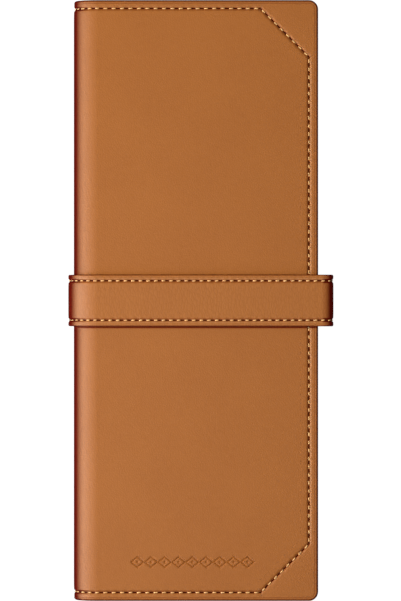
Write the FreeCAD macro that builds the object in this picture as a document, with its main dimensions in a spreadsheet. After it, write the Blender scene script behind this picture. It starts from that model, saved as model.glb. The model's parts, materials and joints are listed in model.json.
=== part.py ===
import FreeCAD, Part
import os
import re

import Sketcher

# Brush roll case in tan leather, closed and lying on its back, in millimetres.
# X runs across the case from the rolled spine (-X) to the closing side (+X), Y along its length,
# and Z up out of the front cover. The origin is the middle of the strap's rear face, on the table.
# Leather that folds in use is cut into strips, so that each strip can turn about its own crease.

SIZES = {
    "case_width": 110.0,  # closed case, spine to closing edge, without the strap
    "case_length": 270.0,
    "case_depth": 22.0,  # outer face of the back to outer face of the cover
    "back_thick": 3.6,
    "cover_thick": 4.4,
    "skin_thick": 1.2,
    "lining_thick": 0.8,
    "padding_thick": 0.8,
    "corner_round": 4.2,
    "edge_round": 1.1,
    "board_inset": 2.0,
    "board_spine_gap": 6.0,
    "seam_end_inset": 3.8,  # sewn line to the top and bottom edges
    "seam_side_inset": 4.1,  # sewn line to the closing edge
    "seam_corner_cut": 21.8,  # where the sewn line crosses the corner at 45 degrees
    "seam_allowance": 1.3,  # lining outside the sewn line
    "groove_wide": 0.9,
    "groove_deep": 0.35,
    "thread_thick": 0.6,
    "strap_wide": 23.2,
    "strap_ply": 1.2,
    "strap_slack": 0.2,  # air between the strap and the leather that it wraps
    "strap_seam_inset": 2.75,
    "saddle_reach": 9.0,  # strap sewn down on the cover beside the spine
    "tab_top": 17.0,
    "tail_bottom": 5.0,
    "tail_air": 1.9,  # between the tab and the tail that laps over it
    "magnet_round": 5.0,
    "magnet_thick": 0.8,
    "magnet_level": 11.0,
    "slot_pitch": 15.0,
    "slot_count": 6.0,
    "slot_first": -32.5,
    "sleeve_wall": 0.8,
    "sleeve_round": 7.0,
    "sleeve_straight": 1.8,
    "sleeve_low": -127.0,
    "sleeve_mouth": -28.0,
    "loop_wall": 0.9,
    "loop_round": 6.4,
    "loop_straight": 1.4,
    "loop_wide": 18.0,
    "loop_low": 0.0,
    "loop_high": 52.0,
    "flap_thick": 1.2,
    "flap_length": 236.0,
    "flap_reach": 49.8,
    "flap_edge": 53.8,
    "flap_level": 17.6,
    "flap_foot": 6.2,
    "pocket_thick": 1.6,
    "pocket_air": 0.6,
    "pocket_hem": 2.5,
    "pocket_side": 8.0,
    "pocket_mouth": 60.0,
}
STRIPS = 5
TURN = 180 / (STRIPS + 1)  # degrees that each crease of the spine folds

# Expressions over the sizes. A name below stands for its text wherever it is used.
SKIN_LEVEL = "(2 * strap_ply)"
COVER_LEVEL = f"({SKIN_LEVEL} + case_depth)"
ROLL_ROUND = "(case_depth / 2)"
ROLL_X = f"({ROLL_ROUND} - case_width / 2)"
ROLL_Z = f"({SKIN_LEVEL} + {ROLL_ROUND})"
SPINE_X = f"({ROLL_X} - {ROLL_ROUND} * tan({TURN / 2} deg))"
CLOSING_X = "(case_width / 2)"
HALF_LENGTH = "(case_length / 2)"
SEAM_X = f"({CLOSING_X} - seam_side_inset)"
SEAM_Y = f"({HALF_LENGTH} - seam_end_inset)"
BED_LEVEL = f"({SKIN_LEVEL} + back_thick)"
TAB_OUT = f"({CLOSING_X} + strap_slack + 2 * strap_ply)"
TAIL_IN = f"({TAB_OUT} + tail_air)"
TAIL_OUT = f"({TAIL_IN} + 2 * strap_ply)"
ARM_LEVEL = f"({COVER_LEVEL} + strap_slack)"
ARM_X = f"({SPINE_X} + saddle_reach)"

document = FreeCAD.newDocument("BrushRollCase")
sheet = document.addObject("Spreadsheet::Sheet", "Sizes")
for row, (alias, value) in enumerate(SIZES.items(), start=1):
    sheet.set(f"A{row}", alias)
    sheet.set(f"B{row}", str(value))
    sheet.setAlias(f"B{row}", alias)
document.recompute()

ALIAS = re.compile(r"\b(" + "|".join(SIZES) + r")\b")


def bound(text):
    """The expression as other objects read it, with each size looked up in the sheet."""
    return ALIAS.sub(r"Sizes.\1", text)


def number(text):
    """The expression's value now, in millimetres."""
    return float(sheet.evalExpression(text))


# ---------------------------------------------------------------- sketches and features


def new_body(label, lift=None, flipped=False):
    """An empty body, raised by lift and, if flipped, turned over about X to face down."""
    body = document.addObject("PartDesign::Body", label)
    body.Label = label
    if flipped:
        body.Placement = FreeCAD.Placement(
            FreeCAD.Vector(0, 0, 0), FreeCAD.Rotation(FreeCAD.Vector(1, 0, 0), 180)
        )
    if lift:
        body.setExpression("Placement.Base.z", bound(lift))
    return body


def new_sketch(body, plane, offset="0"):
    """A sketch on one of the body's own origin planes, moved along its normal."""
    support = next(f for f in body.Origin.OriginFeatures if f.Role == plane)
    sketch = body.newObject("Sketcher::SketchObject", body.Label + "_sketch")
    sketch.AttachmentSupport = [(support, "")]
    sketch.MapMode = "FlatFace"
    sketch.setExpression("AttachmentOffset.Base.z", bound(offset))
    return sketch


def fix_distance(sketch, kind, edge, end, text, name):
    """Holds one end of a sketch edge at a distance from the sketch's origin."""
    index = sketch.addConstraint(Sketcher.Constraint(kind, -1, 1, edge, end, number(text)))
    sketch.renameConstraint(index, name)
    sketch.setExpression("Constraints." + name, bound(text))


def fix_point(sketch, edge, end, x, y, name):
    """Holds one end of a sketch edge at the place that two expressions give."""
    fix_distance(sketch, "DistanceX", edge, end, x, name + "X")
    fix_distance(sketch, "DistanceY", edge, end, y, name + "Y")


def draw_polygon(sketch, points):
    """A closed outline through (x, y) expressions."""
    first = sketch.GeometryCount
    places = [FreeCAD.Vector(number(x), number(y), 0) for x, y in points]
    for start, end in zip(places, places[1:] + places[:1]):
        sketch.addGeometry(Part.LineSegment(start, end), False)
    for corner, (x, y) in enumerate(points):
        edge, following = first + corner, first + (corner + 1) % len(points)
        sketch.addConstraint(Sketcher.Constraint("Coincident", edge, 2, following, 1))
        fix_point(sketch, edge, 1, x, y, f"corner{edge}")


def draw_rectangle(sketch, x_low, x_high, y_low, y_high):
    draw_polygon(sketch, [(x_low, y_low), (x_high, y_low), (x_high, y_high), (x_low, y_high)])


def draw_arch(sketch, centre, half_wide, straight):
    """A D-shaped outline standing on y = 0: two straight sides and a round top."""
    x, radius, rise = number(centre), number(half_wide), number(straight)
    low_left, low_right = FreeCAD.Vector(x - radius, 0, 0), FreeCAD.Vector(x + radius, 0, 0)
    top_left, top_right = FreeCAD.Vector(x - radius, rise, 0), FreeCAD.Vector(x + radius, rise, 0)
    crown = FreeCAD.Vector(x, rise + radius, 0)
    sketch.addGeometry(Part.LineSegment(low_left, low_right), False)
    sketch.addGeometry(Part.LineSegment(low_right, top_right), False)
    sketch.addGeometry(Part.Arc(top_right, crown, top_left), False)
    sketch.addGeometry(Part.LineSegment(top_left, low_left), False)
    for edge in range(4):
        sketch.addConstraint(Sketcher.Constraint("Coincident", edge, 2, (edge + 1) % 4, 1))
    left, right = f"{centre} - {half_wide}", f"{centre} + {half_wide}"
    fix_point(sketch, 0, 1, left, "0", "left")
    fix_point(sketch, 1, 1, right, "0", "right")
    fix_point(sketch, 2, 1, right, straight, "springRight")
    fix_point(sketch, 3, 1, left, straight, "springLeft")
    fix_distance(sketch, "DistanceY", 2, 3, straight, "centre")


def draw_circle(sketch, x, y, radius):
    place = FreeCAD.Vector(number(x), number(y), 0)
    sketch.addGeometry(Part.Circle(place, FreeCAD.Vector(0, 0, 1), number(radius)), False)
    fix_point(sketch, 0, 3, x, y, "centre")
    index = sketch.addConstraint(Sketcher.Constraint("Radius", 0, number(radius)))
    sketch.renameConstraint(index, "round")
    sketch.setExpression("Constraints.round", bound(radius))


def extrude(body, kind, sketch, length, symmetric=False, backwards=False):
    """A Pad or a Pocket of the sketch. A Pocket that removes nothing stops the build."""
    before = body.Shape.Volume if kind == "Pocket" else 0
    feature = body.newObject("PartDesign::" + kind, body.Label + "_" + kind.lower())
    feature.Profile = sketch
    feature.Reversed = backwards
    if symmetric:
        feature.SideType = "Symmetric"
    feature.setExpression("Length", bound(length))
    document.recompute()
    if kind == "Pocket" and body.Shape.Volume > before - 0.01:
        raise RuntimeError(f"{body.Label}: a pocket removed nothing")
    return feature


def fillet(body, radius, wanted):
    """Rounds the edges of the body's last feature for which wanted(edge's box) holds."""
    last = body.Tip
    names = [f"Edge{i}" for i, e in enumerate(last.Shape.Edges, 1) if wanted(e.BoundBox)]
    feature = body.newObject("PartDesign::Fillet", body.Label + "_fillet")
    feature.Base = (last, names)
    feature.setExpression("Radius", bound(radius))
    document.recompute()


def repeat(body, features, step, count):
    """Copies the features along X."""
    pattern = body.newObject("PartDesign::LinearPattern", body.Label + "_pattern")
    pattern.Originals = features
    along = next(f for f in body.Origin.OriginFeatures if f.Role == "X_Axis")
    pattern.Direction = (along, [""])
    pattern.setExpression("Length", bound(f"{step} * ({count} - 1)"))
    pattern.setExpression("Occurrences", bound(count))
    body.Tip = pattern
    document.recompute()


def strip(label, points, length):
    """A piece with one cross-section in XZ, centred on Y = 0."""
    body = new_body(label)
    sketch = new_sketch(body, "XZ_Plane")
    draw_polygon(sketch, points)
    extrude(body, "Pad", sketch, length, symmetric=True)
    return body


# ---------------------------------------------------------------- the two stiff panels


def chamfered(inward):
    """The sewn line's path moved inward: from the spine, round the closing side and back."""
    x = f"({SEAM_X} - {inward})"
    y = f"({SEAM_Y} - {inward})"
    cut = f"(seam_corner_cut + {inward} * (sqrt(2) - 1) - {inward})"
    shoulder = f"({SEAM_X} - {cut} - {inward})"
    hip = f"({SEAM_Y} - {cut} - {inward})"
    return [
        (SPINE_X, f"-{y}"),
        (shoulder, f"-{y}"),
        (x, f"-{hip}"),
        (x, hip),
        (shoulder, y),
        (SPINE_X, y),
    ]


def seam_band(width):
    """A band of that width that follows the sewn line."""
    return chamfered(f"(-{width} / 2)") + chamfered(f"({width} / 2)")[::-1]


def panel_skin(label, thick, level, flipped):
    """Outer leather: its hem turns in over the board, which leaves a cavity for board and lining."""
    body = new_body(label, lift=level, flipped=flipped)
    sketch = new_sketch(body, "XY_Plane")
    draw_rectangle(sketch, SPINE_X, CLOSING_X, f"-{HALF_LENGTH}", HALF_LENGTH)
    extrude(body, "Pad", sketch, thick)
    closing = number(CLOSING_X)
    upright = 0.5 * number(thick)
    fillet(body, "corner_round", lambda b: b.XMin > closing - 0.01 and b.ZLength > upright)
    flat = 0.001
    spine = number(SPINE_X)
    fillet(body, "edge_round", lambda b: b.ZMax < flat and b.XMax > spine + flat)
    sketch = new_sketch(body, "XY_Plane", thick)
    draw_polygon(sketch, chamfered("(-seam_allowance)"))
    extrude(body, "Pocket", sketch, "lining_thick")
    sketch = new_sketch(body, "XY_Plane", f"{thick} - lining_thick")
    inner_x = f"{CLOSING_X} - board_inset"
    inner_y = f"({HALF_LENGTH} - board_inset)"
    draw_rectangle(sketch, f"{SPINE_X} - 1", inner_x, f"-{inner_y}", inner_y)
    extrude(body, "Pocket", sketch, f"{thick} - lining_thick - skin_thick")
    sketch = new_sketch(body, "XY_Plane")
    draw_polygon(sketch, seam_band("groove_wide"))
    extrude(body, "Pocket", sketch, "groove_deep", backwards=True)


def panel_layer(label, low, high, level, flipped):
    """A flat sheet in the panel's cavity: the board, or the padding over it."""
    body = new_body(label, lift=level, flipped=flipped)
    sketch = new_sketch(body, "XY_Plane", low)
    inner_x = f"{CLOSING_X} - board_inset"
    inner_y = f"({HALF_LENGTH} - board_inset)"
    draw_rectangle(sketch, f"{SPINE_X} + board_spine_gap", inner_x, f"-{inner_y}", inner_y)
    extrude(body, "Pad", sketch, f"{high} - ({low})")


def panel_outline_piece(label, outline, low, thick, level, flipped):
    """A piece cut to an outline that follows the sewn line: the lining, or the thread."""
    body = new_body(label, lift=level, flipped=flipped)
    sketch = new_sketch(body, "XY_Plane", low)
    draw_polygon(sketch, outline)
    extrude(body, "Pad", sketch, thick)


def stiff_panel(name, thick, board_low, level, flipped):
    panel_skin(f"{name}_skin", thick, level, flipped)
    panel_layer(f"{name}_board", board_low, f"{thick} - lining_thick", level, flipped)
    lining = chamfered("(-seam_allowance)")
    lining_low = f"{thick} - lining_thick"
    panel_outline_piece(f"{name}_lining", lining, lining_low, "lining_thick", level, flipped)
    thread = seam_band("thread_thick")
    panel_outline_piece(f"{name}_seam_thread", thread, "0", "groove_deep", level, flipped)


def cover_pocket():
    """Slip pocket on the cover's lining, sewn on three sides, its mouth towards +Y."""
    body = new_body("cover_pocket", lift=COVER_LEVEL, flipped=True)
    left, right = f"({SPINE_X} + pocket_side)", f"({SEAM_X} - 1)"
    # the cover's own frame is turned over, so its -Y is the case's +Y
    mouth, floor = "(-pocket_mouth)", f"({SEAM_Y} - pocket_hem)"
    sketch = new_sketch(body, "XY_Plane", "cover_thick")
    draw_rectangle(sketch, left, right, mouth, floor)
    extrude(body, "Pad", sketch, "pocket_thick")
    inner = (f"{left} + pocket_hem", f"{right} - pocket_hem", f"{mouth} - 1")
    sketch = new_sketch(body, "XY_Plane", "cover_thick")
    draw_rectangle(sketch, *inner, f"{floor} - pocket_hem")
    extrude(body, "Pocket", sketch, "pocket_air", backwards=True)


# ---------------------------------------------------------------- the rolled spine


def roll_point(crease, outward):
    """Where crease 1 (at the back) to STRIPS + 1 (at the cover) crosses a layer of the spine."""
    angle = -90 - TURN / 2 - (crease - 1) * TURN
    radius = f"(({ROLL_ROUND} + {outward}) / cos({TURN / 2} deg))"
    return (
        f"{ROLL_X} + {radius} * cos({angle} deg)",
        f"{ROLL_Z} + {radius} * sin({angle} deg)",
    )


def spine_layer(label, crease, outer, inner):
    """One strip of a spine layer, between two depths. The end strips meet the panels squarely."""
    near, far = roll_point(crease, outer), roll_point(crease + 1, outer)
    far_in, near_in = roll_point(crease + 1, inner), roll_point(crease, inner)
    if crease == 1:
        near = (SPINE_X, f"{SKIN_LEVEL} - {outer}")
        near_in = (SPINE_X, f"{SKIN_LEVEL} - {inner}")
    if crease == STRIPS:
        far = (SPINE_X, f"{COVER_LEVEL} + {outer}")
        far_in = (SPINE_X, f"{COVER_LEVEL} + {inner}")
    strip(label, [near, far, far_in, near_in], "case_length")


def strap_link(label, crease):
    """One strip of the strap round the spine, square-ended so that it lies flat when unrolled."""
    facing = -90 - crease * TURN
    corners = []
    for at, outward in (
        (crease, "strap_slack"),
        (crease + 1, "strap_slack"),
        (crease + 1, "(strap_slack + 2 * strap_ply)"),
        (crease, "(strap_slack + 2 * strap_ply)"),
    ):
        x, z = roll_point(at, "0")
        corners.append(
            (f"{x} + {outward} * cos({facing} deg)", f"{z} + {outward} * sin({facing} deg)")
        )
    strip(label, corners, "strap_wide")


# ---------------------------------------------------------------- the strap


def draw_seam_rows(sketch, x_low, x_high, wide):
    """Two straight rows, one along each edge of the strap."""
    near = f"(strap_wide / 2 - strap_seam_inset - {wide} / 2)"
    far = f"(strap_wide / 2 - strap_seam_inset + {wide} / 2)"
    draw_rectangle(sketch, x_low, x_high, near, far)
    draw_rectangle(sketch, x_low, x_high, f"-{far}", f"-{near}")


def strap_threads(label, x_low, x_high, level):
    """The thread that lies in the strap's two grooves."""
    body = new_body(label)
    sketch = new_sketch(body, "XY_Plane", level)
    draw_seam_rows(sketch, x_low, x_high, "thread_thick")
    extrude(body, "Pad", sketch, "groove_deep")


def strap_face(label, points, x_low, x_high, show_level, upwards):
    """An outer ply with a groove for each row of thread on its show side."""
    body = strip(label, points, "strap_wide")
    sketch = new_sketch(body, "XY_Plane", show_level)
    draw_seam_rows(sketch, x_low, x_high, "groove_wide")
    extrude(body, "Pocket", sketch, "groove_deep", backwards=upwards)


def magnet_ply(label, points, interface):
    """An inner ply with a blind seat for the magnet, open towards the outer ply."""
    body = strip(label, points, "strap_wide")
    sketch = new_sketch(body, "YZ_Plane", interface)
    draw_circle(sketch, "0", "magnet_level", "magnet_round")
    extrude(body, "Pocket", sketch, "magnet_thick")


def magnet(label, interface):
    """A flat disc magnet, flush with the face where the two plies meet."""
    body = new_body(label)
    sketch = new_sketch(body, "YZ_Plane", interface)
    draw_circle(sketch, "0", "magnet_level", "magnet_round")
    extrude(body, "Pad", sketch, "magnet_thick", backwards=True)


def rear_strap_and_tab():
    """Strap under the back, then the tab that turns up beside the closing edge."""
    half_out, half_in = f"({TAB_OUT} - strap_ply)", f"({TAB_OUT} - 2 * strap_ply)"
    face = [(SPINE_X, "0"), (half_in, "0"), (half_out, "strap_ply"), (SPINE_X, "strap_ply")]
    strap_face("strap_back_face", face, f"{SPINE_X} - 1", half_in, "0", upwards=True)
    strap_threads("strap_back_thread", SPINE_X, half_in, "0")
    backing = [
        (SPINE_X, "strap_ply"),
        (half_out, "strap_ply"),
        (half_in, "2 * strap_ply"),
        (SPINE_X, "2 * strap_ply"),
    ]
    strip("strap_back_backing", backing, "strap_wide")
    tab_face = [
        (half_out, "strap_ply"),
        (TAB_OUT, "2 * strap_ply"),
        (TAB_OUT, "tab_top"),
        (half_out, "tab_top"),
    ]
    strip("tab_face", tab_face, "strap_wide")
    tab_backing = [
        (half_in, "2 * strap_ply"),
        (half_out, "strap_ply"),
        (half_out, "tab_top"),
        (half_in, "tab_top"),
    ]
    magnet_ply("tab_backing", tab_backing, half_out)
    magnet("tab_magnet", half_out)


def front_strap_and_tail():
    """Strap sewn down beside the spine, the loose arm over the cover, and its turned-down tail."""
    half_out = f"({TAIL_OUT} - strap_ply)"
    middle, top = f"({ARM_LEVEL} + strap_ply)", f"({ARM_LEVEL} + 2 * strap_ply)"
    saddle_end = f"{ARM_X} - 0.05"
    saddle = [(SPINE_X, ARM_LEVEL), (saddle_end, ARM_LEVEL), (saddle_end, top), (SPINE_X, top)]
    strip("strap_saddle", saddle, "strap_wide")
    face = [(ARM_X, middle), (half_out, middle), (TAIL_IN, top), (ARM_X, top)]
    strap_face("arm_face", face, f"{ARM_X} - 1", TAIL_IN, top, upwards=False)
    strap_threads("arm_thread", ARM_X, TAIL_IN, f"{top} - groove_deep")
    backing = [(ARM_X, ARM_LEVEL), (TAIL_IN, ARM_LEVEL), (half_out, middle), (ARM_X, middle)]
    strip("arm_backing", backing, "strap_wide")
    tail_face = [
        (half_out, middle),
        (TAIL_OUT, ARM_LEVEL),
        (TAIL_OUT, "tail_bottom"),
        (half_out, "tail_bottom"),
    ]
    strip("tail_face", tail_face, "strap_wide")
    tail_backing = [
        (TAIL_IN, ARM_LEVEL),
        (half_out, middle),
        (half_out, "tail_bottom"),
        (TAIL_IN, "tail_bottom"),
    ]
    magnet_ply("tail_backing", tail_backing, half_out)
    magnet("tail_magnet", half_out)


# ---------------------------------------------------------------- inside the case


def brush_sleeves():
    """A row of sewn fabric channels, closed at the foot and open towards +Y."""
    body = new_body("brush_sleeves", lift=BED_LEVEL)
    sketch = new_sketch(body, "XZ_Plane", "-sleeve_mouth")
    draw_arch(sketch, "slot_first", "sleeve_round", "sleeve_straight")
    channel = extrude(body, "Pad", sketch, "sleeve_mouth - sleeve_low")
    web = new_sketch(body, "XZ_Plane", "-sleeve_mouth")
    half = "slot_pitch / 2"
    draw_rectangle(web, f"slot_first - {half}", f"slot_first + {half}", "0", "sleeve_wall")
    sewn = extrude(body, "Pad", web, "sleeve_mouth - sleeve_low")
    hollow = new_sketch(body, "XZ_Plane", "-sleeve_mouth")
    draw_arch(hollow, "slot_first", "(sleeve_round - sleeve_wall)", "sleeve_straight")
    depth = "sleeve_mouth - sleeve_low - sleeve_wall"
    opened = extrude(body, "Pocket", hollow, depth, backwards=True)
    repeat(body, [channel, sewn, opened], "slot_pitch", "slot_count")


def elastic_loops(label, low):
    """A band of elastic sewn down between the brushes, so that it stands up in loops."""
    body = new_body(label, lift=BED_LEVEL)
    sketch = new_sketch(body, "XZ_Plane", f"-({low} + loop_wide)")
    draw_arch(sketch, "slot_first", "loop_round", "loop_straight")
    arch = extrude(body, "Pad", sketch, "loop_wide")
    web = new_sketch(body, "XZ_Plane", f"-({low} + loop_wide)")
    half = "slot_pitch / 2"
    draw_rectangle(web, f"slot_first - {half}", f"slot_first + {half}", "0", "loop_wall")
    sewn = extrude(body, "Pad", web, "loop_wide")
    hollow = new_sketch(body, "XZ_Plane", f"-({low} + loop_wide)")
    draw_arch(hollow, "slot_first", "(loop_round - loop_wall)", "loop_straight")
    opened = extrude(body, "Pocket", hollow, "loop_wide", backwards=True)
    repeat(body, [arch, sewn, opened], "slot_pitch", "slot_count")


def side_flap():
    """Soft flap: a wall that stands at the closing edge, and a panel folded in over the brushes."""
    inside = "(flap_edge - flap_thick)"
    under, ply = "(flap_level - flap_thick)", "(flap_level - flap_thick / 2)"
    reach = "(flap_edge - flap_reach)"
    wall = [
        (inside, "flap_foot"),
        ("flap_edge", "flap_foot"),
        ("flap_edge", "flap_level"),
        (inside, under),
    ]
    strip("flap_wall", wall, "flap_length")
    ply_x = "(flap_edge - flap_thick / 2)"
    outer = [(reach, ply), (ply_x, ply), ("flap_edge", "flap_level"), (reach, "flap_level")]
    strip("flap_panel", outer, "flap_length")
    inner = [(reach, under), (inside, under), (ply_x, ply), (reach, ply)]
    strip("flap_panel_lining", inner, "flap_length")


# ---------------------------------------------------------------- build, check and write

stiff_panel("back", "back_thick", "skin_thick", SKIN_LEVEL, flipped=False)
stiff_panel("cover", "cover_thick", "skin_thick + padding_thick", COVER_LEVEL, flipped=True)
panel_layer("cover_padding", "skin_thick", "skin_thick + padding_thick", COVER_LEVEL, True)
cover_pocket()
for number_of_strip in range(1, STRIPS + 1):
    spine_layer(f"spine_skin_{number_of_strip}", number_of_strip, "0", "(-skin_thick)")
    lining_depth = "(-skin_thick - lining_thick)"
    spine_layer(f"spine_lining_{number_of_strip}", number_of_strip, "(-skin_thick)", lining_depth)
    strap_link(f"strap_link_{number_of_strip}", number_of_strip)
rear_strap_and_tab()
front_strap_and_tail()
brush_sleeves()
elastic_loops("elastic_loops_lower", "loop_low")
elastic_loops("elastic_loops_upper", "loop_high")
side_flap()
document.recompute()

for item in document.Objects:
    if {"Invalid", "Error"} & set(item.State):
        raise RuntimeError(f"{item.Label} failed: {item.State}")

pieces = [item for item in document.Objects if item.TypeId == "PartDesign::Body"]
os.makedirs("parts", exist_ok=True)
for piece in pieces:
    if piece.Shape.isNull() or not piece.Shape.isValid() or not piece.Shape.Solids:
        raise RuntimeError(f"{piece.Label} has no valid solid")
for piece in pieces:
    piece.Shape.exportStep(os.path.join("parts", piece.Label + ".step"))
print(len(pieces), "pieces written")
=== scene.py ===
import json
import math

import bmesh
import bpy
import numpy as np
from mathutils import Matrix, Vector

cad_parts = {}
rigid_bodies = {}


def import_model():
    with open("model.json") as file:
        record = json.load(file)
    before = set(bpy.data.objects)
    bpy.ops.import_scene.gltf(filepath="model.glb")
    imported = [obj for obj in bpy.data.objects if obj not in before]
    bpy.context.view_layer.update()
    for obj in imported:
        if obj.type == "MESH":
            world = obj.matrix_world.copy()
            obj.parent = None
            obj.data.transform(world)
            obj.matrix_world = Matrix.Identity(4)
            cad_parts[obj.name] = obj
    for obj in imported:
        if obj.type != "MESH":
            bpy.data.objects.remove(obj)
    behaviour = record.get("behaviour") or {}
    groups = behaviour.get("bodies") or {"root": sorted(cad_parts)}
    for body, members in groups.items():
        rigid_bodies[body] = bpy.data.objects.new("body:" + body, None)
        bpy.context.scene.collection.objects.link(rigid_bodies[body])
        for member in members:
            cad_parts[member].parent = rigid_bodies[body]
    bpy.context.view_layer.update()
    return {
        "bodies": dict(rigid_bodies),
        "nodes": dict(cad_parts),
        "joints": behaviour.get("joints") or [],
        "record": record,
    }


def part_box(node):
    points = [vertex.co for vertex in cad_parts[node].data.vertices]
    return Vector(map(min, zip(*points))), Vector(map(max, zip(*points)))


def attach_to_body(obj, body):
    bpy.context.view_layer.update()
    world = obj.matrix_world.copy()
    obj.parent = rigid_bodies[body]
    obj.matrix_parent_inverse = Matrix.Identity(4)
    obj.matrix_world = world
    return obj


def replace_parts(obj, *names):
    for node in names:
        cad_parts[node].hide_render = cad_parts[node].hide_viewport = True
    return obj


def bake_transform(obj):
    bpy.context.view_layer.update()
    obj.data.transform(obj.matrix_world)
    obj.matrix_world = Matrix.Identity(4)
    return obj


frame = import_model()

# A tan leather roll case for brushes. Lengths below are in millimetres unless a name says otherwise.
# Leather is laid out flat in sheet coordinates, s along it, v across it and n out of its show face,
# and a Path then carries it round the case. Grain and stitching follow the sheet, so that they run
# on unbroken from piece to piece.

MM = 0.001


def span(node):
    """A CAD node's lowest and highest corners."""
    low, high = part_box(node)
    return low / MM, high / MM


# ---------------------------------------------------------------- sizes, read from the frame

BACK_LOW, BACK_HIGH = span("back_skin")
COVER_LOW, COVER_HIGH = span("cover_skin")
EDGE_X, HALF = COVER_HIGH.x, COVER_HIGH.y
BACK_THICK, COVER_THICK = BACK_HIGH.z - BACK_LOW.z, COVER_HIGH.z - COVER_LOW.z
ROLL = (COVER_HIGH.z - BACK_LOW.z) / 2  # outer radius of the rolled spine
ROLL_X = span("spine_skin_3")[0].x + ROLL
FLAT = EDGE_X - ROLL_X
CASE_LENGTH = 2 * FLAT + math.pi * ROLL
CREASES = 6
SKIN, LINING = 1.2, 0.8
SPINE_THICK = SKIN + LINING

THREAD = 0.6
SEAM_SIDE = EDGE_X + THREAD / 2 - span("cover_seam_thread")[1].x
SEAM_END = HALF + THREAD / 2 - span("cover_seam_thread")[1].y
SEAM_CUT = 21.8
SEAM_MARGIN = 1.3  # lining outside the seam
SIDE_STITCHES, CORNER_STITCHES, END_STITCHES = 60, 8, 48
CORNER = 4.2
EDGE_ROLL = 1.3
EDGE_CREASE = 1.45  # a creased line this far in from the edges

STRAP_HALF = span("arm_face")[1].y
STRAP_TOP = span("arm_face")[1].z
TAB_X, TAB_TOP = span("tab_face")[1].x, span("tab_face")[1].z
TAIL_X, TAIL_LOW = span("tail_face")[1].x, span("tail_face")[0].z
ARM_X = span("arm_face")[0].x
PLY = 1.2
STRAP_BEND = 4.2
STRAP_SEAM = 2.75
STRAP_STITCH = 3.43
STRAP_CORNER = 4.0
ARM_FLEX = 11.0  # length of the strap that curls when it is lifted off the cover
PLY_OVERLAP = 2.5  # a bend's piece runs this far past the bend


# ---------------------------------------------------------------- paths


class Path:
    """Straights and turns in the XZ plane, run so that the show side is on the left."""

    def __init__(self, x, z, heading):
        self.parts = []
        self.x, self.z, self.heading, self.length = x, z, math.radians(heading), 0.0

    def _add(self, length, radius):
        self.parts.append((self.length, self.x, self.z, self.heading, radius))
        self.length += length
        end = self.place(np.array([self.length]), np.zeros(1), np.zeros(1))[0]
        self.x, self.z = end[0], end[2]
        return self

    def straight(self, length):
        return self._add(length, 0.0)

    def turn(self, radius, degrees):
        """Turns right, or left if the radius is negative. The radius is the show face's."""
        self._add(abs(radius) * math.radians(degrees), radius)
        self.heading -= math.copysign(math.radians(degrees), radius)
        return self

    def place(self, s, v, n):
        """Points in the frame, as an array with x, y and z along its last axis."""
        starts = np.array([part[0] for part in self.parts])
        index = np.clip(np.searchsorted(starts, s, side="right") - 1, 0, len(starts) - 1)
        start, x, z, heading, radius = np.array(self.parts).T[:, index]
        bent = radius != 0
        along = s - start
        angle = heading - np.where(bent, along / np.where(bent, radius, 1), 0)
        run = np.where(bent, 0, along)
        px = x + run * np.cos(heading) + radius * (np.sin(heading) - np.sin(angle))
        pz = z + run * np.sin(heading) - radius * (np.cos(heading) - np.cos(angle))
        return np.stack([px - n * np.sin(angle), v + 0 * px, pz + n * np.cos(angle)], axis=-1)

    def point(self, s, n=0.0):
        """One point in the frame, in metres."""
        return Vector(self.place(np.array([s]), np.zeros(1), np.array([n]))[0]) * MM


CASE = Path(EDGE_X, BACK_LOW.z, 180).straight(FLAT).turn(ROLL, 180).straight(FLAT)

STRAP = Path(TAB_X, TAB_TOP, -90).straight(TAB_TOP - STRAP_BEND).turn(STRAP_BEND, 90)
TAB_END = STRAP.length
STRAP.straight(TAB_X - STRAP_BEND - ROLL_X)
ROLL_START = STRAP.length
STRAP.turn(STRAP_TOP / 2, 180)
ROLL_END = STRAP.length
STRAP.straight(TAIL_X - STRAP_BEND - ROLL_X)
TAIL_START = STRAP.length
STRAP.turn(STRAP_BEND, 90)
TAIL_END = STRAP.length
STRAP.straight(STRAP_TOP - STRAP_BEND - TAIL_LOW)
ARM_START = ROLL_END + ARM_X - ROLL_X

FLAP_LOW, FLAP_HIGH = span("flap_wall")
FLAP_REACH = span("flap_panel")[0].x
FLAP_ROUND = 2.0
FLAP_FLANGE = 7.0
FLAP = Path(FLAP_REACH, FLAP_HIGH.z, 0).straight(FLAP_HIGH.x - FLAP_REACH - FLAP_ROUND)
FLAP_FOLD = FLAP.length
FLAP.turn(FLAP_ROUND, 90)
FLAP_WALL = FLAP.length
FLAP.straight(FLAP_HIGH.z - BACK_HIGH.z - 2 * FLAP_ROUND)
FLAP_FOOT = FLAP.length
FLAP.turn(FLAP_ROUND, 90).straight(FLAP_FLANGE)
FLAP_THICK = FLAP_HIGH.x - FLAP_LOW.x


# ---------------------------------------------------------------- meshes


def smooth(x, low, high):
    """0 below low, 1 above high, and an even rise between them."""
    t = np.clip((x - low) / (high - low), 0, 1)
    return t * t * (3 - 2 * t)


def add_object(name, points, faces, marks, material, sharp=40):
    """A closed, smooth-shaded mesh. marks maps an attribute's name to one vector a point."""
    mesh = bpy.data.meshes.new(name)
    mesh.from_pydata((points * MM).tolist(), [], faces)
    for key, values in marks.items():
        layer = mesh.attributes.new(key, "FLOAT_VECTOR", "POINT")
        layer.data.foreach_set("vector", np.asarray(values, np.float32).ravel())
    work = bmesh.new()
    work.from_mesh(mesh)
    bmesh.ops.recalc_face_normals(work, faces=work.faces)
    work.to_mesh(mesh)
    work.free()
    mesh.polygons.foreach_set("use_smooth", [True] * len(mesh.polygons))
    mesh.set_sharp_from_angle(angle=math.radians(sharp))
    mesh.materials.append(material)
    piece = bpy.data.objects.new(name, mesh)
    bpy.context.scene.collection.objects.link(piece)
    return piece


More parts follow.
